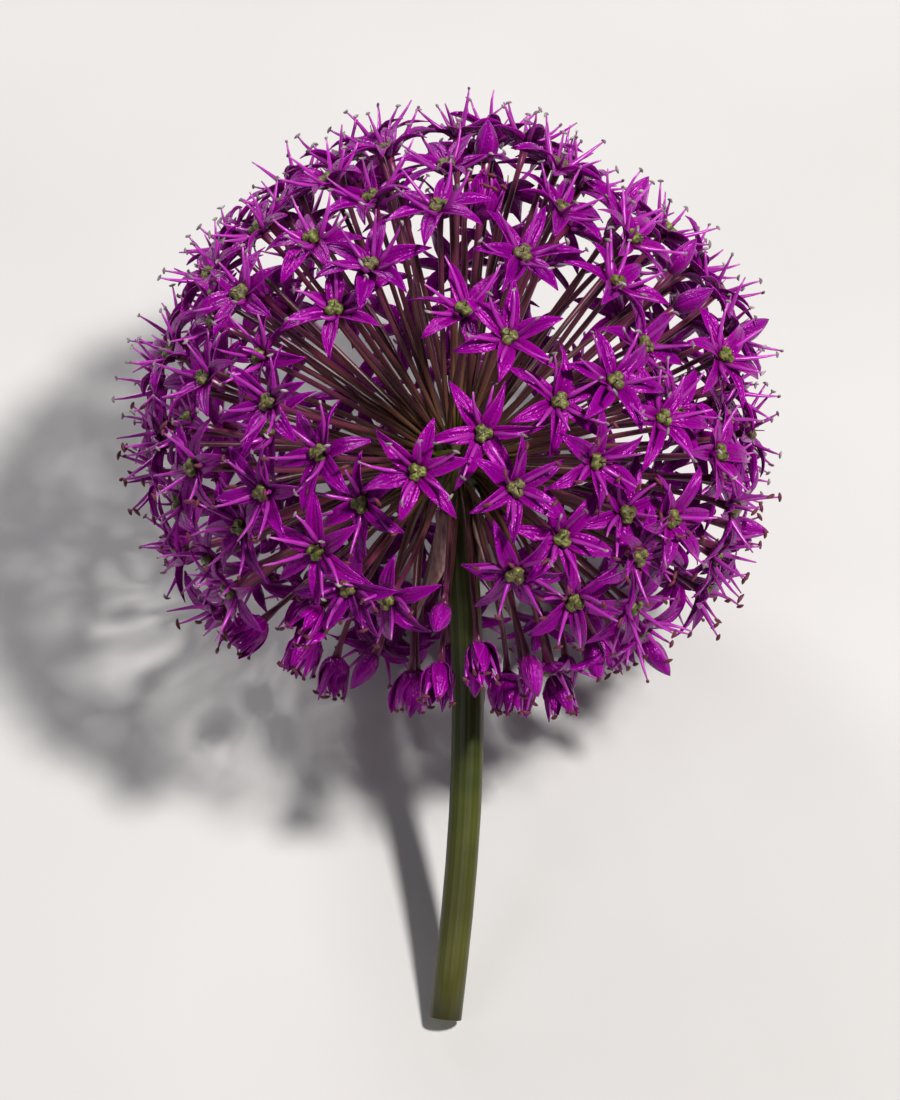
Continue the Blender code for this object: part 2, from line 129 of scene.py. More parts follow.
def standing_frame(point, axis, side):
    """A frame with Z along the axis and X near the side vector."""
    z = axis.normalized()
    x = (side - z * side.dot(z)).normalized()
    return Matrix.LocRotScale(point, Matrix((x, z.cross(x), z)).transposed(), None)


# %% Walk out along one pedicel
def rings_outward(first_ring, stub):
    """The rings of vertices met on the way out from the stub."""
    seen = set(first_ring) | stub
    rings = [first_ring]
    while True:
        met = {e.other_vert(v) for v in rings[-1] for e in v.link_edges} - seen
        if not met:
            return rings
        seen |= met
        rings.append(list(met))


def read_floret(first_ring, stub):
    """Turn the rings of one star or bud into a floret."""
    rings = rings_outward(first_ring, stub)
    root = middle([e.other_vert(v).co for v in first_ring for e in v.link_edges if e.other_vert(v) in stub])
    apex = rings[-1][0]
    beside_apex = {e.other_vert(apex) for e in apex.link_edges}
    rim = middle([v.co for v in beside_apex])
    axis = (apex.co - rim).normalized()
    outer = [v for v in rings[-2] if v not in beside_apex]
    plain_rings = 3 if outer else 4
    kind = "bud"
    base = rim - axis * BUD_SHOULDER
    corners = [v.co for v in beside_apex]
    if outer:
        base = rim - axis * RIM_RISE
        corners = [v.co for v in outer]
        rise = sum((co - base).dot(axis) for co in corners) / len(corners)
        kind = "bell" if rise > 4.0 * MM else "open"
    place = standing_frame(base, axis, corners[0] - base)
    tips = sorted((place.inverted() @ co for co in corners), key=lambda tip: math.atan2(tip.y, tip.x))
    route = [root, base]
    if len(rings) > plain_rings:
        route.insert(1, middle([v.co for v in rings[0]]))
    return Floret(kind, place, tips, route, rng.random())


# %% Read every cyme
def read_cyme(node):
    """All the florets of one cyme."""
    bm = bmesh.new()
    bm.from_mesh(node.data)
    bmesh.ops.remove_doubles(bm, verts=bm.verts, dist=0.5e-6)
    stub = {v for v in bm.verts if (v.co - hub).length < STUB_TOP}
    starts = {v for v in bm.verts if v not in stub and any(e.other_vert(v) in stub for e in v.link_edges)}
    florets = []
    for vert in bm.verts:
        if vert in starts:
            near = {e.other_vert(vert) for e in vert.link_edges} & starts
            ring = {vert} | near
            for _ in range(3):
                ring |= {e.other_vert(v) for v in ring for e in v.link_edges} & starts
            starts -= ring
            florets.append(read_floret(list(ring), stub))
    bm.free()
    return florets


cymes = {name: read_cyme(node) for name, node in sorted(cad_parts.items()) if name.startswith("cyme")}
everyone = [floret for florets in cymes.values() for floret in florets]
print({kind: sum(f.kind == kind for f in everyone) for kind in ("open", "bell", "bud")})

# %% [markdown]
# ## Tiers
# A real umbel has no tiers, but two hundred florets are easier to look through in groups. The cymes are
# counted from the top of the head down, and each tier's tepals, filaments and so on are one piece each.
# One finish to a piece also keeps the exported model simple.

# %% Sort the cymes into tiers
TIERS = 8


def height_in_head(name):
    places = [floret.place.translation - hub for floret in cymes[name]]
    return middle(places).normalized().dot(stem_axis)


from_the_top = sorted(cymes, key=height_in_head, reverse=True)
tiers = [list(names) for names in np.array_split(from_the_top, TIERS)]
print("cymes in each tier:", [len(names) for names in tiers])

# %% [markdown]
# ## Stamping
# Hundreds of tepals share one layout of faces and differ only in where their vertices go. So each shape
# starts as a small template made with bmesh operators: a flat grid, a tube or a ball. A stamp repeats the
# template once for each part and moves the vertices to that part's places with numpy. It also stores how
# far along and across the part each vertex is, and a random tone, for the materials to read.

# %% Make the templates
def template_mesh(name, bm):
    mesh = bpy.data.meshes.new(name)
    bm.to_mesh(mesh)
    bm.free()
    return mesh


def grid_template(name, along, across):
    """A flat grid with X from 0 to 1 along it and Y from -1 to 1 across it."""
    bm = bmesh.new()
    bmesh.ops.create_grid(bm, x_segments=along, y_segments=across, size=1.0)
    bmesh.ops.translate(bm, verts=bm.verts, vec=(1.0, 0.0, 0.0))
    bmesh.ops.scale(bm, verts=bm.verts, vec=(0.5, 1.0, 1.0))
    return template_mesh(name, bm)


def tube_template(name, sides, lengths):
    """A closed tube of radius 1 with Z from 0 to 1, cut into equal lengths."""
    bm = bmesh.new()
    bmesh.ops.create_cone(bm, cap_ends=True, segments=sides, radius1=1.0, radius2=1.0, depth=1.0)
    bmesh.ops.translate(bm, verts=bm.verts, vec=(0.0, 0.0, 0.5))
    for step in range(1, lengths):
        geometry = bm.verts[:] + bm.edges[:] + bm.faces[:]
        bmesh.ops.bisect_plane(bm, geom=geometry, plane_co=(0, 0, step / lengths), plane_no=(0, 0, 1))
    return template_mesh(name, bm)


def ball_template(name, around, up):
    bm = bmesh.new()
    bmesh.ops.create_uvsphere(bm, u_segments=around, v_segments=up, radius=1.0)
    return template_mesh(name, bm)


def coordinates(mesh):
    flat = np.empty(3 * len(mesh.vertices))
    mesh.vertices.foreach_get("co", flat)
    return flat.reshape(-1, 3)


# %% Stamp a piece
FLOOR_CLEARANCE = 0.2 * MM
SOFT_HEIGHT = 1.2 * MM  # below this, parts are pressed up off the floor


def write_values(mesh, name, values):
    attribute = mesh.attributes.new(name, "FLOAT", "POINT")
    attribute.data.foreach_set("value", np.asarray(values, np.float32))


def rest_on_floor(height):
    """Press heights up smoothly, so that nothing goes under the floor or turns inside out."""
    room = SOFT_HEIGHT - FLOOR_CLEARANCE
    pressed = FLOOR_CLEARANCE + room * np.exp((height - SOFT_HEIGHT) / room)
    return np.where(height < SOFT_HEIGHT, pressed, height)


def stamp(name, template, along, across, shapes, tones):
    """One object that holds the template once for each shape."""
    bm = bmesh.new()
    for _ in shapes:
        bm.from_mesh(template)
    mesh = template_mesh(name, bm)
    places = np.concatenate(shapes)
    places[:, 2] = rest_on_floor(places[:, 2])
    mesh.vertices.foreach_set("co", places.ravel())
    write_values(mesh, "along", np.tile(along, len(shapes)))
    write_values(mesh, "across", np.tile(across, len(shapes)))
    write_values(mesh, "tone", np.repeat(tones, len(along)))
    mesh.shade_smooth()
    mesh.update()
    piece = bpy.data.objects.new(name, mesh)
    bpy.context.scene.collection.objects.link(piece)
    return piece


def finish_piece(piece, material, nodes):
    """Give the piece its material, hang it on the root body, and hide the frame's parts that it stands for."""
    piece.data.materials.clear()
    piece.data.materials.append(material)
    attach(piece, "root")
    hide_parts(*nodes)


# %% [markdown]
# ## Curves in numpy
# Tepals, filaments, anthers and pedicels all follow a gentle curve with four control points. The curve and
# its direction are worked out for all the template's vertices at once.

# %% Follow a curve
def bezier(points, s):
    """Places on a cubic curve, and its unit directions there."""
    p = np.array([tuple(point) for point in points])
    s = s[:, None]
    t = 1.0 - s
    places = t**3 * p[0] + 3 * t * t * s * p[1] + 3 * t * s * s * p[2] + s**3 * p[3]
    slope = t * t * (p[1] - p[0]) + 2 * t * s * (p[2] - p[1]) + s * s * (p[3] - p[2])
    return places, slope / np.linalg.norm(slope, axis=1, keepdims=True)


def unit(rows):
    return rows / np.linalg.norm(rows, axis=1, keepdims=True)


def tube_along(points, template, radius, side):
    """The template tube laid along a curve; the radius is an array, and side a vector off the curve."""
    places, ahead = bezier(points, template[:, 2])
    over = unit(np.cross(ahead, np.array(tuple(side))))
    beside = np.cross(ahead, over)
    around = template[:, :1] * over + template[:, 1:2] * beside
    return places + radius[:, None] * around


def into_place(place, points):
    """Carry points from a floret's frame into the scene."""
    matrix = np.array(place)
    return points @ matrix[:3, :3].T + matrix[:3, 3]


# %% [markdown]
# ## Shared surface effects
# Petal and stalk tissue shows two things up close: fine veins that run lengthwise, and a soft unevenness
# of colour. Each is a node group, used by several materials with its own numbers.

# %% Build the node groups
def add_node(tree, kind, **settings):
    new = tree.nodes.new(kind)
    for key, value in settings.items():
        setattr(new, key, value)
    return new


def add_math(tree, operation, first, second=None):
    new = add_node(tree, "ShaderNodeMath", operation=operation)
    for socket, value in zip(new.inputs, (first, second)):
        if isinstance(value, (int, float)):
            socket.default_value = value
        elif value is not None:
            tree.links.new(value, socket)
    return new.outputs[0]


def read_value(tree, name):
    return add_node(tree, "ShaderNodeAttribute", attribute_name=name).outputs["Fac"]


def veins_group():
    """Lengthwise veins: a wave across the part, broken up a little by noise."""
    group = bpy.data.node_groups.new("lengthwise_veins", "ShaderNodeTree")
    for name, value in (("Across", 0.0), ("Along", 0.0), ("Veins", 12.0), ("Wander", 0.6)):
        socket = group.interface.new_socket(name, in_out="INPUT", socket_type="NodeSocketFloat")
        socket.default_value = value
    group.interface.new_socket("Vein", in_out="OUTPUT", socket_type="NodeSocketFloat")
    entry = group.nodes.new("NodeGroupInput").outputs
    leave = group.nodes.new("NodeGroupOutput").inputs
    spot = group.nodes.new("ShaderNodeCombineXYZ")
    group.links.new(add_math(group, "MULTIPLY", entry["Along"], 3.0), spot.inputs[0])
    group.links.new(add_math(group, "MULTIPLY", entry["Across"], 2.0), spot.inputs[1])
    wander = group.nodes.new("ShaderNodeTexNoise")
    wander.inputs["Scale"].default_value = 1.6
    group.links.new(spot.outputs[0], wander.inputs["Vector"])
    shift = add_math(group, "MULTIPLY", wander.outputs["Fac"], entry["Wander"])
    turned = add_math(group, "MULTIPLY", add_math(group, "ADD", entry["Across"], shift), entry["Veins"])
    wave = add_math(group, "SINE", turned)
    group.links.new(add_math(group, "ADD", add_math(group, "MULTIPLY", wave, 0.5), 0.5), leave["Vein"])
    return group


def mottle_group():
    """Soft unevenness at two sizes."""
    group = bpy.data.node_groups.new("mottle", "ShaderNodeTree")
    socket = group.interface.new_socket("Scale", in_out="INPUT", socket_type="NodeSocketFloat")
    socket.default_value = 900.0
    group.interface.new_socket("Patches", in_out="OUTPUT", socket_type="NodeSocketFloat")
    group.interface.new_socket("Grain", in_out="OUTPUT", socket_type="NodeSocketFloat")
    entry = group.nodes.new("NodeGroupInput").outputs
    leave = group.nodes.new("NodeGroupOutput").inputs
    where = group.nodes.new("ShaderNodeTexCoord").outputs["Object"]
    for output, factor in (("Patches", 0.3), ("Grain", 3.0)):
        cloud = group.nodes.new("ShaderNodeTexNoise")
        group.links.new(where, cloud.inputs["Vector"])
        group.links.new(add_math(group, "MULTIPLY", entry["Scale"], factor), cloud.inputs["Scale"])
        group.links.new(cloud.outputs["Fac"], leave[output])
    return group


veins = veins_group()
mottle = mottle_group()
print("node groups:", veins.name, mottle.name)


# %% Helpers for the materials
def plant_material(name, roughness, **plain):
    """A new material and its tree and shader; the plain numbers are set on the shader itself."""
    material = bpy.data.materials.new(name)
    material.use_nodes = True
    shader = material.node_tree.nodes["Principled BSDF"]
    shader.inputs["Roughness"].default_value = roughness
    for socket, value in plain.items():
        shader.inputs[socket.replace("_", " ")].default_value = value
    return material, material.node_tree, shader


def add_ramp(tree, factor, *stops):
    """A colour ramp; each stop is a position and a colour."""
    ramp = tree.nodes.new("ShaderNodeValToRGB")
    while len(ramp.color_ramp.elements) < len(stops):
        ramp.color_ramp.elements.new(0.5)
    for element, (position, color) in zip(ramp.color_ramp.elements, stops):
        element.position = position
        element.color = (*color, 1.0)
    tree.links.new(factor, ramp.inputs["Fac"])
    return ramp.outputs["Color"]


def add_mix(tree, factor, first, second, blend="MIX"):
    """Mix two colours; the factor is a number or a socket, and each colour a triple or a socket."""
    mix = add_node(tree, "ShaderNodeMix", data_type="RGBA", blend_type=blend)
    for socket, value in ((mix.inputs[0], factor), (mix.inputs[6], first), (mix.inputs[7], second)):
        if isinstance(value, (int, float)):
            socket.default_value = value
        elif isinstance(value, tuple):
            socket.default_value = (*value, 1.0)
        else:
            tree.links.new(value, socket)
    return mix.outputs[2]


def add_group(tree, group, **values):
    new = add_node(tree, "ShaderNodeGroup", node_tree=group)
    for name, value in values.items():
        if isinstance(value, (int, float)):
            new.inputs[name].default_value = value
        else:
            tree.links.new(value, new.inputs[name])
    return new.outputs


def add_bump(tree, shader, height, strength, depth):
    bump = tree.nodes.new("ShaderNodeBump")
    bump.inputs["Strength"].default_value = strength
    bump.inputs["Distance"].default_value = depth
    tree.links.new(height, bump.inputs["Height"])
    tree.links.new(bump.outputs["Normal"], shader.inputs["Normal"])


# %% [markdown]
# ## The tepals' colour
# The tepals are a deep, glossy magenta purple: darkest where they meet the ovary, clearer along the blade,
# and a touch paler at the tip. Each floret has its own tone, some bluer and some redder. Fine veins run
# along the blade with a darker one down the middle, and they break the gloss into bright streaks. The
# edges of the blade are painted paler, a painted highlight where they would catch the light.

# %% Tepal material
def tepal_material():
    material, tree, shader = plant_material(
        "tepal", 0.3, Specular_IOR_Level=0.5, Specular_Tint=(1.0, 0.22, 0.95, 1.0))
    along, across, tone = (read_value(tree, name) for name in ("along", "across", "tone"))
    blade = add_ramp(
        tree, along,
        (0.0, (0.06, 0.0001, 0.035)), (0.22, (0.18, 0.0001, 0.15)),
        (0.7, (0.26, 0.0002, 0.235)), (1.0, (0.34, 0.001, 0.31)))
    cool = add_mix(tree, 1.0, blade, (0.62, 0.6, 0.74), "MULTIPLY")
    blade = add_mix(tree, tone, blade, cool)
    vein = add_group(tree, veins, Across=across, Along=along, Veins=13.0, Wander=0.25)["Vein"]
    patches = add_group(tree, mottle, Scale=700.0)
    blade = add_mix(tree, add_math(tree, "MULTIPLY", vein, 0.35), blade, (0.09, 0.0002, 0.08))
    midrib = add_math(tree, "SUBTRACT", 1.0, add_math(tree, "MULTIPLY", add_math(tree, "ABSOLUTE", across), 5.0))
    midrib = add_math(tree, "MAXIMUM", midrib, 0.0)
    blade = add_mix(tree, add_math(tree, "MULTIPLY", midrib, 0.55), blade, (0.07, 0.0002, 0.065))
    blade = add_mix(tree, add_math(tree, "MULTIPLY", patches["Patches"], 0.35), blade, (0.38, 0.0005, 0.35))
    # Painted highlight: the outermost edges of the blade are mixed toward a pale magenta, as if lit.
    edge = add_math(tree, "POWER", add_math(tree, "ABSOLUTE", across), 7.0)
    blade = add_mix(tree, add_math(tree, "MULTIPLY", edge, 0.3), blade, (0.55, 0.02, 0.5))
    tree.links.new(blade, shader.inputs["Base Color"])
    rough = add_math(tree, "ADD", add_math(tree, "MULTIPLY", patches["Grain"], 0.2), 0.12)
    tree.links.new(rough, shader.inputs["Roughness"])
    crinkle = add_math(tree, "ADD", add_math(tree, "MULTIPLY", patches["Grain"], 2.2), vein)
    add_bump(tree, shader, crinkle, 0.8, 0.1 * MM)
    return material


tepal_skin = tepal_material()

# %% [markdown]
# ## The shape of a tepal
# A tepal is a narrow blade, 7 mm long and 2 mm wide, folded a little along its midrib like an open book.
# The curve of its midrib starts under the ovary, rises, and ends on the tip that the frame gives. The
# blade is a grid, and a Solidify modifier gives it the thickness of a petal.

# %% Tepal shape
TEPAL_HALF_WIDTH = 1.55 * MM
TEPAL_STRETCH = 1.29
tepal_grid = grid_template("tepal_grid", 8, 4)
tepal_vertices = coordinates(tepal_grid)
tepal_along, tepal_across = tepal_vertices[:, 0], tepal_vertices[:, 1]


def blade_width(s):
    """Half the blade's width along it: a narrow foot, widest before the middle, and a pointed tip."""
    belly = np.sin(math.pi * np.power(s, 0.85)).clip(0.0) ** 0.85
    return (0.34 * (1.0 - s) ** 2 + 0.9 * belly).clip(0.05)


def fold_blade(midrib, angle, half_width, fold, twist, sway):
    """Lay the grid along a midrib given by four radius and height pairs, at an angle round the floret."""
    s, v = tepal_along, tepal_across
    curve = [(radius, 0.0, height) for radius, height in midrib]
    places, ahead = bezier(curve, s)
    width = half_width * blade_width(s)
    wave = 0.16 * np.sin(rng.uniform(5.0, 9.0) * s + rng.uniform(0.0, math.tau)) * v * np.abs(v)
    flat, raised = v * width * math.cos(fold), width * (np.abs(v) * math.sin(fold) + wave)
    turn = twist * s
    sideways = flat * np.cos(turn) - raised * np.sin(turn) + sway * s * s
    lifted = flat * np.sin(turn) + raised * np.cos(turn)
    radius = places[:, 0] - ahead[:, 2] * lifted
    height = places[:, 2] + ahead[:, 0] * lifted
    x = radius * math.cos(angle) - sideways * math.sin(angle)
    y = radius * math.sin(angle) + sideways * math.cos(angle)
    return np.stack([x, y, height], axis=1)


def open_midrib(tip):
    """An open tepal rises from the rim and arches over to its tip."""
    reach = TEPAL_STRETCH * rng.uniform(0.92, 1.07) * math.hypot(tip.x, tip.y)
    lift = rng.uniform(0.3, 1.8) * MM
    return [
        (0.35 * MM, -0.25 * MM),
        (0.32 * reach, 0.25 * tip.z + lift),
        (0.7 * reach, 0.8 * tip.z + 1.1 * lift),
        (reach, tip.z)]


def bell_midrib(tip):
    """A half-open tepal stands up round the ovary, and its tip leans in or out a little."""
    mouth = rng.uniform(1.6, 2.9) * MM
    return [(0.4 * MM, -0.5 * MM), (2.9 * MM, 0.1 * MM), (3.0 * MM, 0.62 * tip.z), (mouth, 1.06 * tip.z)]


def tepal_shapes(floret):
    """The six tepals of one floret."""
    shapes = []
    for tip in floret.tips:
        angle = math.atan2(tip.y, tip.x)
        midrib = bell_midrib(tip) if floret.kind == "bell" else open_midrib(tip)
        half_width = TEPAL_HALF_WIDTH * rng.uniform(0.88, 1.12) * (1.3 if floret.kind == "bell" else 1.0)
        fold = math.radians(rng.uniform(14.0, 34.0))
        twist = math.radians(rng.gauss(0.0, 30.0))
        sway = rng.gauss(0.0, 0.5) * MM
        blade = fold_blade(midrib, angle, half_width, fold, twist, sway)
        shapes.append(into_place(floret.place, blade))
    return shapes


# %% Build the tepals, tier by tier
PETAL_THICKNESS = 0.13 * MM


def florets_of(names, *kinds):
    return [floret for name in names for floret in cymes[name] if floret.kind in kinds]


def repeated_tones(florets, shapes_each):
    """A tone for every part, near the tone of its floret; the bells are the clearest."""
    tones = [0.1 if floret.kind == "bell" else floret.tone for floret in florets for _ in range(shapes_each)]
    return [min(1.0, max(0.0, tone + rng.gauss(0.0, 0.12))) for tone in tones]


tepal_count = 0
for number, names in enumerate(tiers, 1):
    florets = florets_of(names, "open", "bell")
    shapes = [shape for floret in florets for shape in tepal_shapes(floret)]
    tones = repeated_tones(florets, 6)
    piece = stamp(f"tepals_{number}", tepal_grid, tepal_along, tepal_across, shapes, tones)
    thickness = piece.modifiers.new("petal thickness", "SOLIDIFY")
    thickness.thickness = PETAL_THICKNESS
    thickness.offset = 0.0
    finish_piece(piece, tepal_skin, names)
    tepal_count += len(shapes)
print("tepals:", tepal_count)

# %% [markdown]
# ## Closed buds
# The last florets, low on the head, are still shut: smooth pointed ovoids with six faint seams where the
# tepals meet. A ball is pulled to a point at one end and pinched a little along the seams.

# %% Build the buds
BUD_LENGTH = 7.6 * MM
BUD_RADIUS = 1.95 * MM
bud_ball = ball_template("bud_ball", 18, 12)
bud_vertices = coordinates(bud_ball)
bud_along = 0.5 + 0.5 * bud_vertices[:, 2]
bud_across = np.sin(3.0 * np.arctan2(bud_vertices[:, 1], bud_vertices[:, 0]))


def bud_shape(floret):
    """Round below, drawn to a point above, with six shallow seams."""
    around = np.arctan2(bud_vertices[:, 1], bud_vertices[:, 0])
    level = np.arccos(bud_vertices[:, 2].clip(-1.0, 1.0)) / math.pi
    s = 1.0 - level
    belly = np.sin(math.pi * s**0.72).clip(0.0) ** 0.78
    radius = BUD_RADIUS * rng.uniform(0.88, 1.02) * belly * (1.0 - 0.06 * np.abs(np.cos(3.0 * around)) ** 4)
    turn = around + 0.5 * s
    height = BUD_LENGTH * (s - 0.06)
    return into_place(floret.place, np.stack([radius * np.cos(turn), radius * np.sin(turn), height], axis=1))


for number, names in enumerate(tiers, 1):
    florets = florets_of(names, "bud")
    if florets:
        shapes = [bud_shape(floret) for floret in florets]
        tones = repeated_tones(florets, 1)
        piece = stamp(f"buds_{number}", bud_ball, bud_along, bud_across, shapes, tones)
        finish_piece(piece, tepal_skin, names)
print("buds:", len(florets_of(cymes, "bud")))

# %% [markdown]
# ## Stamens
# A stamen is a filament with an anther across its end. The six filaments stand over the tepals and are
# the palest part of the flower: lilac at the foot and paler toward the end, nearly white where they catch
# the light; the paler end is partly their own colour and partly a painted highlight. The spent
# anthers are small grey curls. Both are tubes laid along a short curve.

# %% Stamen materials
def filament_material():
    material, tree, shader = plant_material(
        "filament", 0.24, Specular_IOR_Level=0.6, Specular_Tint=(1.0, 0.45, 0.97, 1.0))
    along, tone = read_value(tree, "along"), read_value(tree, "tone")
    # Partly painted highlight: the filament grows paler from foot to end, partly its own colour and partly standing
    # in for the light its ends catch.
    stalk = add_ramp(
        tree, along,
        (0.0, (0.2, 0.0002, 0.17)), (0.3, (0.33, 0.001, 0.3)),
        (0.7, (0.48, 0.015, 0.45)), (1.0, (0.58, 0.16, 0.54)))
    stalk = add_mix(tree, add_math(tree, "MULTIPLY", tone, 0.85), stalk, (0.24, 0.002, 0.225))
    patches = add_group(tree, mottle, Scale=1500.0)
    stalk = add_mix(tree, add_math(tree, "MULTIPLY", patches["Patches"], 0.15), stalk, (0.75, 0.25, 0.7))
    tree.links.new(stalk, shader.inputs["Base Color"])
    add_bump(tree, shader, patches["Grain"], 0.3, 0.03 * MM)
    return material


def anther_material():
    """Grey and dry at tone 0, dark red and fresh at tone 1."""
    material, tree, shader = plant_material("anther", 0.6)
    patches = add_group(tree, mottle, Scale=2600.0)
    husk = add_ramp(
        tree, patches["Patches"],
        (0.3, (0.1, 0.06, 0.08)), (0.52, (0.24, 0.18, 0.2)), (0.72, (0.46, 0.42, 0.4)))
    husk = add_mix(tree, read_value(tree, "tone"), husk, (0.12, 0.012, 0.03))
    tree.links.new(husk, shader.inputs["Base Color"])
    add_bump(tree, shader, patches["Grain"], 0.7, 0.08 * MM)
    return material


filament_skin = filament_material()
anther_skin = anther_material()

# %% Stamen shapes
filament_tube = tube_template("filament_tube", 5, 4)
filament_vertices = coordinates(filament_tube)
anther_tube = tube_template("anther_tube", 5, 4)
anther_vertices = coordinates(anther_tube)
FILAMENT_FOOT = 0.56 * MM
FILAMENT_END = 0.13 * MM
ANTHER_LENGTH = 1.35 * MM
ANTHER_RADIUS = 0.27 * MM
ANTHER_SHARE = 0.7


def stamen_curve(angle, bell):
    """Four points from the rim to the anther, in the floret's frame."""
    spread = math.radians(rng.gauss(14.0, 4.0) if bell else rng.gauss(47.0, 12.0))
    spread = max(0.1, min(1.3, spread))
    length = (6.6 if bell else rng.uniform(7.1, 8.9)) * MM
    out = Vector((math.cos(angle), math.sin(angle), 0.0))
    across = Vector((-out.y, out.x, 0.0))
    foot = out * (0.95 * MM)
    lean = out * math.sin(spread) + UP * math.cos(spread)
    end = foot + lean * length + across * (rng.gauss(0.0, 0.5) * MM)
    early = foot + (out * math.sin(1.25 * spread) + UP * math.cos(1.25 * spread)) * (0.35 * length)
    late = foot + lean * (0.7 * length) + out * (rng.uniform(0.0, 0.7) * MM)
    return [foot, early, late, end]


def is_fresh(floret):
    """The latest florets, the bells and some low down, still have plump anthers."""
    low = floret.place.to_3x3().col[2].dot(stem_axis) < 0.1
    return floret.kind == "bell" or (low and floret.tone > 0.4)


def anther_curve(stalk, size):
    """A short arc across the filament's end, turned any way round it."""
    ahead = (stalk[3] - stalk[2]).normalized()
    side = ahead.orthogonal().normalized()
    side.rotate(Matrix.Rotation(rng.uniform(0.0, math.tau), 3, ahead))
    half = 0.5 * size * ANTHER_LENGTH * rng.uniform(0.75, 1.1)
    curl = ahead * (rng.uniform(-0.5, 0.9) * half / size**3)
    left, right = stalk[3] - side * half, stalk[3] + side * half
    return [left - curl, left.lerp(right, 0.33), left.lerp(right, 0.67), right - curl]


def stamens(floret):
    """The filaments and anthers of one floret."""
    filaments, anthers = [], []
    bell = floret.kind == "bell"
    size = 1.3 if is_fresh(floret) else 1.0
    taper = filament_vertices[:, 2]
    filament_radius = FILAMENT_END + (FILAMENT_FOOT - FILAMENT_END) * (1.0 - taper) ** 1.05
    anther_radius = size * ANTHER_RADIUS * np.sin(math.pi * (0.07 + 0.86 * anther_vertices[:, 2])) ** 0.7
    for tip in floret.tips:
        stalk = stamen_curve(math.atan2(tip.y, tip.x) + rng.gauss(0.0, 0.16), bell)
        side = stalk[0].cross(UP)
        shape = tube_along(stalk, filament_vertices, filament_radius, side)
        filaments.append(into_place(floret.place, shape))
        if rng.random() < ANTHER_SHARE * size:
            arc = anther_curve(stalk, size)
            side = (arc[3] - arc[0]).orthogonal()
            shape = tube_along(arc, anther_vertices, anther_radius, side)
            anthers.append(into_place(floret.place, shape))
    return filaments, anthers


# %% Build the stamens
def tube_across(vertices):
    return np.arctan2(vertices[:, 1], vertices[:, 0]) / math.pi


for number, names in enumerate(tiers, 1):
    florets = florets_of(names, "open", "bell")
    pairs = [stamens(floret) for floret in florets]
    tones = repeated_tones(florets, 6)
    filaments = [shape for pair in pairs for shape in pair[0]]
    anthers = [shape for pair in pairs for shape in pair[1]]
    piece = stamp(
        f"filaments_{number}", filament_tube, filament_vertices[:, 2], tube_across(filament_vertices),
        filaments, tones)
    finish_piece(piece, filament_skin, names)
    piece = stamp(
        f"anthers_{number}", anther_tube, anther_vertices[:, 2], tube_across(anther_vertices),
        anthers, [float(is_fresh(floret)) for floret, pair in zip(florets, pairs) for _ in pair[1]])
    finish_piece(piece, anther_skin, names)
print("stamens:", 6 * len(florets_of(cymes, "open", "bell")))

# %% [markdown]
# ## Ovaries
# In the middle of each open floret sits the ovary, an olive green knob 3 mm across. Three grooves part it
# into lobes, each lobe has two bumps, and a dimple on top holds the short dark style. A ball is swollen
# and pinched into that shape by its angle round the middle. Shade is painted into the grooves.

# %% Ovary and style materials
def ovary_material():
    material, tree, shader = plant_material("ovary", 0.45, Specular_IOR_Level=0.5)
    patches = add_group(tree, mottle, Scale=5200.0)
    across, tone = read_value(tree, "across"), read_value(tree, "tone")
    flesh_and_groove_shade = add_ramp(
        tree, patches["Patches"],
        (0.34, (0.035, 0.042, 0.004)), (0.5, (0.11, 0.125, 0.014)), (0.66, (0.26, 0.275, 0.055)))
    # Painted shade: the grooves are darkened nearly to a dark brown, standing in for the shade that falls in them.
    flesh_and_groove_shade = add_mix(tree, add_math(tree, "MULTIPLY", across, 0.95), flesh_and_groove_shade, (0.03, 0.02, 0.012))
    flesh_and_groove_shade = add_mix(tree, add_math(tree, "MULTIPLY", tone, 0.35), flesh_and_groove_shade, (0.12, 0.06, 0.05))
    tree.links.new(flesh_and_groove_shade, shader.inputs["Base Color"])
    add_bump(tree, shader, patches["Patches"], 1.0, 0.45 * MM)
    return material


ovary_skin = ovary_material()

# %% Build the ovaries
OVARY_RADIUS = 1.42 * MM
OVARY_HEIGHT = 1.1 * MM
ovary_ball = ball_template("ovary_ball", 18, 8)
ovary_vertices = coordinates(ovary_ball)
ovary_around = np.arctan2(ovary_vertices[:, 1], ovary_vertices[:, 0])
ovary_flat = np.hypot(ovary_vertices[:, 0], ovary_vertices[:, 1])
# How deep in a groove each vertex lies, stored as its across value; the ovary material paints shade there.
groove_shade_mask = ((0.5 - 0.5 * np.cos(3.0 * ovary_around)) ** 3 * ovary_flat).clip(0.0, 1.0)


def ovary_shape(floret):
    """Three lobes of two bumps each, with a dimple on top."""
    size = OVARY_RADIUS * rng.uniform(0.92, 1.1)
    turn = ovary_around + rng.uniform(0.0, math.tau)
    radius = size * ovary_flat * (1.0 + 0.17 * np.cos(3.0 * ovary_around) - 0.1 * np.cos(6.0 * ovary_around))
    dimple = 0.55 * np.exp(-((ovary_flat / 0.42) ** 2)) * (ovary_vertices[:, 2] > 0.0)
    crown = 0.12 * ovary_flat * np.cos(3.0 * ovary_around) * (ovary_vertices[:, 2] > 0.2)
    height = OVARY_HEIGHT * (1.0 + ovary_vertices[:, 2] - dimple + crown)
    return into_place(floret.place, np.stack([radius * np.cos(turn), radius * np.sin(turn), height], axis=1))


for number, names in enumerate(tiers, 1):
    florets = florets_of(names, "open")
    shapes = [ovary_shape(floret) for floret in florets]
    tones = repeated_tones(florets, 1)
    piece = stamp(f"ovaries_{number}", ovary_ball, 0.5 + 0.5 * ovary_vertices[:, 2], groove_shade_mask, shapes, tones)
    finish_piece(piece, ovary_skin, names)
print("ovaries:", len(florets_of(cymes, "open")))

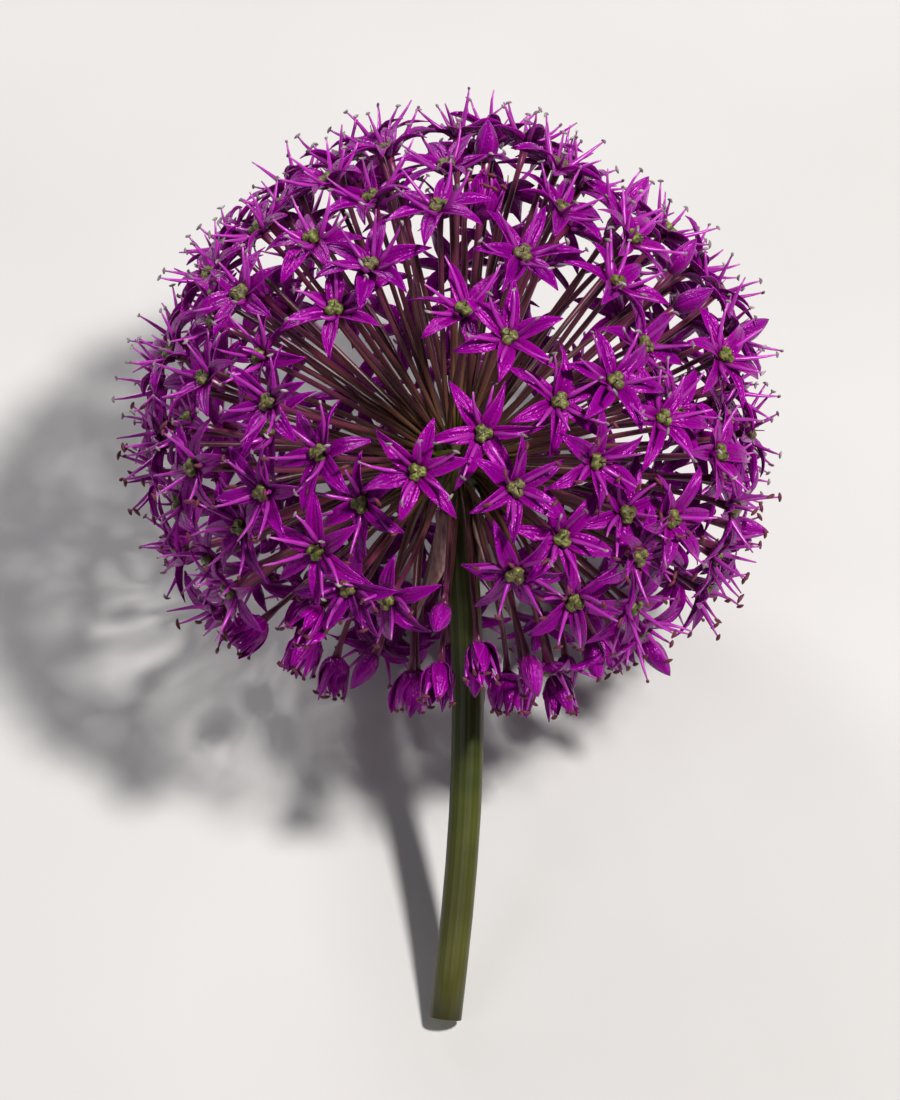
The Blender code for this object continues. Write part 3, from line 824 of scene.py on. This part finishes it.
# %% [markdown]
# ## Pedicels and styles
# The pedicels are the spokes of the head: glossy stalks 1 mm thick and over 40 mm long, purple brown with
# paler, greener feet. They leave the receptacle in bunches, run nearly straight, and widen under the
# floret. The lowest ones arch over and hang. The style is a short dark thread of the same finish.

# %% Pedicel material
def pedicel_material():
    material, tree, shader = plant_material("pedicel", 0.32, Specular_IOR_Level=0.4)
    along, across, tone = (read_value(tree, name) for name in ("along", "across", "tone"))
    stalk = add_ramp(
        tree, along,
        (0.0, (0.09, 0.065, 0.015)), (0.2, (0.1, 0.035, 0.022)),
        (0.55, (0.08, 0.007, 0.026)), (0.93, (0.1, 0.002, 0.05)))
    stalk = add_mix(tree, tone, stalk, add_mix(tree, 1.0, stalk, (1.6, 2.2, 1.5), "MULTIPLY"))
    vein = add_group(tree, veins, Across=across, Along=along, Veins=19.0, Wander=0.2)["Vein"]
    patches = add_group(tree, mottle, Scale=500.0)
    stalk = add_mix(tree, add_math(tree, "MULTIPLY", vein, 0.35), stalk, (0.05, 0.004, 0.012))
    stalk = add_mix(tree, add_math(tree, "MULTIPLY", patches["Patches"], 0.25), stalk, (0.2, 0.07, 0.09))
    tree.links.new(stalk, shader.inputs["Base Color"])
    add_bump(tree, shader, vein, 0.35, 0.05 * MM)
    return material


pedicel_skin = pedicel_material()

# %% Build the pedicels and styles
pedicel_tube = tube_template("pedicel_tube", 6, 8)
pedicel_vertices = coordinates(pedicel_tube)
style_tube = tube_template("style_tube", 4, 2)
style_vertices = coordinates(style_tube)
PEDICEL_RADIUS = 0.47 * MM


def pedicel_radius(s):
    """Slimmer at the foot, and widening under the floret."""
    return PEDICEL_RADIUS * (0.74 + 0.26 * np.minimum(1.0, 3.0 * s) + 0.75 * np.clip((s - 0.9) / 0.1, 0.0, 1.0) ** 2)


def pedicel_shape(floret):
    """From the receptacle out through the frame's points to the floret."""
    root, base = floret.route[0], floret.route[-1]
    axis = floret.place.to_3x3().col[2]
    foot = hub + (root - hub).normalized() * (0.97 * RECEPTACLE_RADIUS)
    length = (base - foot).length
    early = foot + (root - hub).normalized() * (0.3 * length)
    if len(floret.route) == 3:
        early = root.lerp(floret.route[1], 0.75)
    bow = Vector((rng.gauss(0, 1), rng.gauss(0, 1), rng.gauss(0, 1))) * (0.5 * MM)
    late = base - axis * (0.22 * length) + bow
    curve = [foot, early, late, base - axis * (0.1 * MM)]
    side = (base - foot).orthogonal()
    return tube_along(curve, pedicel_vertices, pedicel_radius(pedicel_vertices[:, 2]), side)


def style_shape(floret):
    lean = Vector((rng.gauss(0, 0.35), rng.gauss(0, 0.35), 1.0)).normalized()
    foot = Vector((0.0, 0.0, 1.2 * MM))
    curve = [foot, foot + lean * (0.6 * MM), foot + lean * (1.4 * MM), foot + lean * (rng.uniform(1.8, 3.0) * MM)]
    radius = 0.15 * MM * (1.0 - 0.45 * style_vertices[:, 2])
    return into_place(floret.place, tube_along(curve, style_vertices, radius, Vector((1.0, 0.0, 0.0))))


for number, names in enumerate(tiers, 1):
    florets = florets_of(names, "open", "bell", "bud")
    shapes = [pedicel_shape(floret) for floret in florets]
    piece = stamp(
        f"pedicels_{number}", pedicel_tube, pedicel_vertices[:, 2], tube_across(pedicel_vertices),
        shapes, repeated_tones(florets, 1))
    finish_piece(piece, pedicel_skin, names)
    florets = florets_of(names, "open")
    shapes = [style_shape(floret) for floret in florets]
    along = 0.9 + 0.1 * style_vertices[:, 2]
    piece = stamp(
        f"styles_{number}", style_tube, along, tube_across(style_vertices), shapes, [0.0] * len(shapes))
    finish_piece(piece, pedicel_skin, names)
print("pedicels:", len(everyone))

# %% [markdown]
# ## The scape
# The scape is a leafless stalk, 5.4 mm thick, olive green and faintly ribbed. Its line
# and thickness are read from the frame: the frame's stalk is a row of rings, and each ring's middle is a
# point on the line. A finer tube with more sides is laid along it and given shallow ribs.

# %% Scape material
def scape_material():
    material, tree, shader = plant_material("scape", 0.42, Specular_IOR_Level=0.35)
    along, across = read_value(tree, "along"), read_value(tree, "across")
    patches = add_group(tree, mottle, Scale=260.0)
    skin = add_ramp(
        tree, patches["Patches"],
        (0.3, (0.025, 0.032, 0.002)), (0.5, (0.042, 0.052, 0.003)), (0.72, (0.075, 0.085, 0.008)))
    vein = add_group(tree, veins, Across=across, Along=along, Veins=52.0, Wander=0.05)["Vein"]
    skin = add_mix(tree, add_math(tree, "MULTIPLY", vein, 0.35), skin, (0.02, 0.026, 0.002))
    skin = add_mix(tree, add_ramp(tree, along, (0.0, (0.35,) * 3), (0.25, (0.0,) * 3)), skin, (0.13, 0.1, 0.03))
    tree.links.new(skin, shader.inputs["Base Color"])
    add_bump(tree, shader, vein, 0.3, 0.08 * MM)
    return material


scape_skin = scape_material()


# %% Read the stalk's rings
def stalk_rings():
    """The middle and radius of each ring of the frame's stalk, from the cut end to the dome."""
    bm = bmesh.new()
    bm.from_mesh(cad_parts["scape"].data)
    bmesh.ops.remove_doubles(bm, verts=bm.verts, dist=0.5e-6)
    verts = sorted(bm.verts, key=lambda v: (v.co - hub).dot(stem_axis))
    groups = [verts[i:i + 12] for i in range(0, len(verts), 12)]
    rings = []
    for group in groups:
        centre = middle([v.co for v in group])
        rings.append((centre, sum((v.co - centre).length for v in group) / len(group)))
    bm.free()
    return rings


rings = stalk_rings()
print("stalk rings:", len(rings), "radius", round(rings[0][1] / MM, 2), "mm")

# %% Build the scape
SCAPE_SIDES = 36
SCAPE_RIBS = 9


def scape_skin_mesh(rings):
    """A tube along the rings, with shallow ribs."""
    lengths = len(rings) - 1
    mesh = tube_template("scape_tube", SCAPE_SIDES, lengths)
    flat = coordinates(mesh)
    ring = np.rint(flat[:, 2] * lengths).astype(int)
    centres = np.array([tuple(centre) for centre, _ in rings])
    radii = np.array([radius for _, radius in rings])
    ahead = np.gradient(centres, axis=0)
    over = unit(np.cross(ahead, (1.0, 0.0, 0.0)))
    beside = unit(np.cross(ahead, over))
    around = np.arctan2(flat[:, 1], flat[:, 0])
    rib = 1.0 + 0.012 * np.cos(SCAPE_RIBS * around + 1.5 * flat[:, 2])
    spread = radii[ring, None] * rib[:, None] * (flat[:, :1] * over[ring] + flat[:, 1:2] * beside[ring])
    return mesh, centres[ring] + spread, flat[:, 2], around / math.pi


scape_mesh, scape_places, scape_along, scape_across = scape_skin_mesh(rings)
scape = stamp("scape_stalk", scape_mesh, scape_along, scape_across, [scape_places], [0.5])
finish_piece(scape, scape_skin, ["scape"])
print("scape triangles:", sum(len(face.vertices) - 2 for face in scape.data.polygons))

# %% [markdown]
# The knife leaves a flat, moist, paler face at the stalk's lower end, a little inside its skin. It is a
# piece of its own, a low drum let into the end of the stalk.

# %% Build the cut face
CUT_PROUD = 0.12 * MM
CUT_DEPTH = 0.6 * MM


def cut_material():
    material, tree, shader = plant_material("stalk_cut", 0.35)
    patches = add_group(tree, mottle, Scale=1800.0)
    pith = add_ramp(tree, patches["Patches"], (0.3, (0.2, 0.24, 0.08)), (0.7, (0.42, 0.45, 0.22)))
    tree.links.new(pith, shader.inputs["Base Color"])
    add_bump(tree, shader, patches["Grain"], 0.6, 0.1 * MM)
    return material


end, end_radius = rings[0]
inward = (rings[1][0] - end).normalized()
bm = bmesh.new()
bmesh.ops.create_cone(
    bm, cap_ends=True, segments=SCAPE_SIDES, radius1=0.88 * end_radius, radius2=0.88 * end_radius,
    depth=CUT_DEPTH, matrix=standing_frame(end + inward * (0.5 * CUT_DEPTH - CUT_PROUD), inward, UP))
cut = bpy.data.objects.new("scape_cut", template_mesh("scape_cut", bm))
bevel = cut.modifiers.new("worn edge", "BEVEL")
bevel.width = 0.08 * MM
bevel.segments = 2
bpy.context.scene.collection.objects.link(cut)
finish_piece(cut, cut_material(), ["scape"])
print("cut face", round(2.0 * 0.88 * end_radius / MM, 1), "mm across")

# %% [markdown]
# ## The spathe
# Before it opened, the whole head was wrapped in a papery spathe. It split into bracts that now hang,
# dry and creased, round the top of the scape. Each is the frame's bract with its faces merged, divided
# finer and creased along its length, and given a fibrous paper finish.

# %% Spathe material
def spathe_material():
    material, tree, shader = plant_material("spathe", 0.6, Transmission_Weight=0.0)
    where = tree.nodes.new("ShaderNodeTexCoord").outputs["Object"]
    streak = tree.nodes.new("ShaderNodeMapping")
    streak.inputs["Scale"].default_value = (1800.0, 420.0, 420.0)
    tree.links.new(where, streak.inputs["Vector"])
    fibres = tree.nodes.new("ShaderNodeTexNoise")
    fibres.inputs["Scale"].default_value = 1.0
    fibres.inputs["Detail"].default_value = 4.0
    tree.links.new(streak.outputs["Vector"], fibres.inputs["Vector"])
    paper = add_ramp(
        tree, fibres.outputs["Fac"],
        (0.32, (0.15, 0.055, 0.06)), (0.5, (0.36, 0.19, 0.17)), (0.7, (0.58, 0.42, 0.36)))
    patches = add_group(tree, mottle, Scale=500.0)
    paper = add_mix(tree, add_math(tree, "MULTIPLY", patches["Patches"], 0.6), paper, (0.3, 0.12, 0.15))
    tree.links.new(paper, shader.inputs["Base Color"])
    add_bump(tree, shader, fibres.outputs["Fac"], 0.6, 0.15 * MM)
    return material


spathe_skin = spathe_material()

# %% Build the bracts
def crease(point, amount):
    """How far a point of the paper is pushed by its creases."""
    return amount * noise.noise_vector(Vector((point.x * 900.0, point.y * 260.0, point.z * 260.0)))


for side in ("left", "right"):
    node = f"spathe_bract_{side}"
    bm = bmesh.new()
    bm.from_mesh(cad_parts[node].data)
    bmesh.ops.remove_doubles(bm, verts=bm.verts, dist=0.5e-6)
    bmesh.ops.subdivide_edges(bm, edges=bm.edges[:], cuts=2, smooth=0.3, use_grid_fill=True)
    for vert in bm.verts:
        vert.co += crease(vert.co, 0.35 * MM)
    bract = bpy.data.objects.new(f"bract_{side}", template_mesh(f"bract_{side}", bm))
    bract.data.shade_smooth()
    bpy.context.scene.collection.objects.link(bract)
    finish_piece(bract, spathe_skin, [node])
    print(node, len(bract.data.polygons), "faces")

# %% [markdown]
# ## Floor and light
# The cut flower lies on a plain pale floor. A small key light from the upper right brings out the gloss on
# the near tepals, a weaker one from the left fills, and a low light from behind catches the stamens that
# stand out round the head's edge. The middle of the head stays dark, because its florets shade it.

# %% Floor
def floor_material():
    material, tree, shader = plant_material("pale_floor", 0.85)
    cloud = tree.nodes.new("ShaderNodeTexNoise")
    cloud.inputs["Scale"].default_value = 14.0
    tree.links.new(tree.nodes.new("ShaderNodeTexCoord").outputs["Object"], cloud.inputs["Vector"])
    color = add_ramp(tree, cloud.outputs["Fac"], (0.3, (0.6, 0.59, 0.58)), (0.7, (0.63, 0.62, 0.61)))
    tree.links.new(color, shader.inputs["Base Color"])
    return material


bm = bmesh.new()
bmesh.ops.create_grid(bm, x_segments=2, y_segments=2, size=3.0)
floor = bpy.data.objects.new("floor", template_mesh("floor", bm))
floor.data.materials.append(floor_material())
bpy.context.scene.collection.objects.link(floor)


# %% Lights
def add_light(name, direction, distance, size, power, color):
    data = bpy.data.lights.new(name, "AREA")
    data.shape = "DISK"
    data.size = size
    data.energy = power
    data.color = color
    light = bpy.data.objects.new(name, data)
    toward = Vector(direction).normalized()
    light.location = hub + toward * distance
    light.rotation_euler = toward.to_track_quat("Z", "Y").to_euler()
    bpy.context.scene.collection.objects.link(light)


add_light("key", (0.42, -0.12, 0.9), 0.9, 0.11, 10.5, (1.0, 0.98, 0.95))
add_light("fill", (-0.7, -0.5, 0.6), 1.0, 0.5, 1.2, (0.95, 0.96, 1.0))
add_light("rim", (-0.5, 0.85, 0.45), 0.9, 0.25, 4.0, (1.0, 1.0, 1.0))

world = bpy.data.worlds.new("soft_room")
world.use_nodes = True
world.node_tree.nodes["Background"].inputs["Color"].default_value = (0.9, 0.93, 1.0, 1.0)
world.node_tree.nodes["Background"].inputs["Strength"].default_value = 0.08
bpy.context.scene.world = world
print("lights: key, fill, rim")
